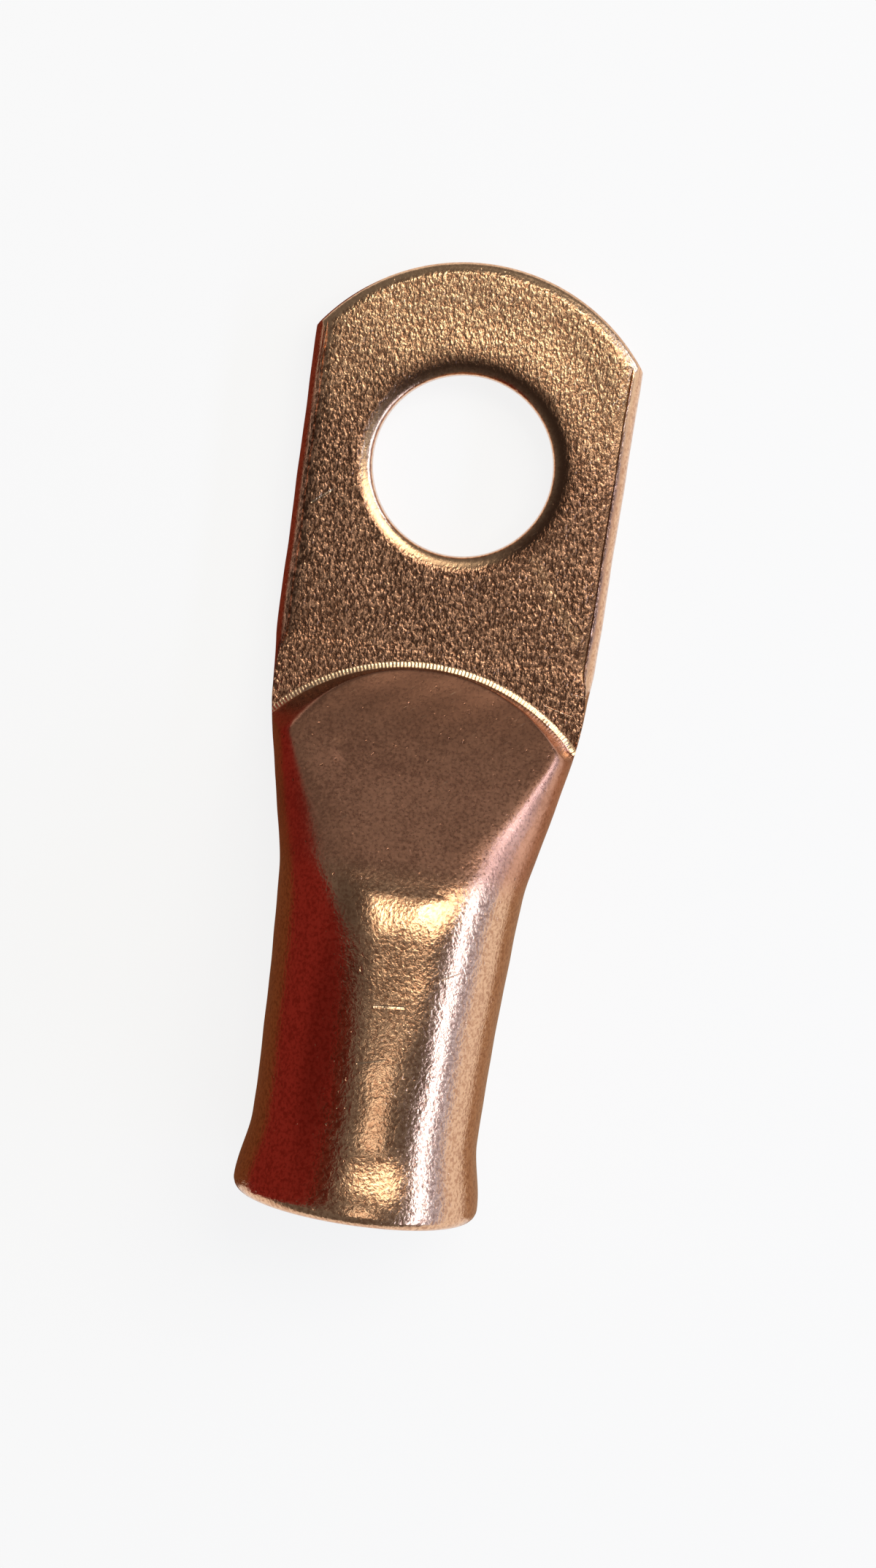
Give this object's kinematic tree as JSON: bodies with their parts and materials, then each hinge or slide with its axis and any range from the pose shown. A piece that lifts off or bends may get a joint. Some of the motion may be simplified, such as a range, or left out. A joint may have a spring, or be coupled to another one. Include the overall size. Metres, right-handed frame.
{
  "type": "copper cable lug",
  "caption": "Tubular copper cable lug: a flat palm with a stud hole, an arc step and a ramp up to a round barrel whose belled mouth takes the conductor.",
  "frame": {"origin": "on the stud hole's axis, at the palm's back face, which rests on the ground", "axes": "+X from the stud hole to the barrel's mouth, +Y across the palm, +Z out of the palm's front face"},
  "size_m": [0.0544, 0.019, 0.0141],
  "materials": {
    "copper": "bare copper, coined with a grainy palm, satin barrel, lightly tarnished"
  },
  "bodies": {
    "root": {"lug": "copper"}
  },
  "joints": []
}
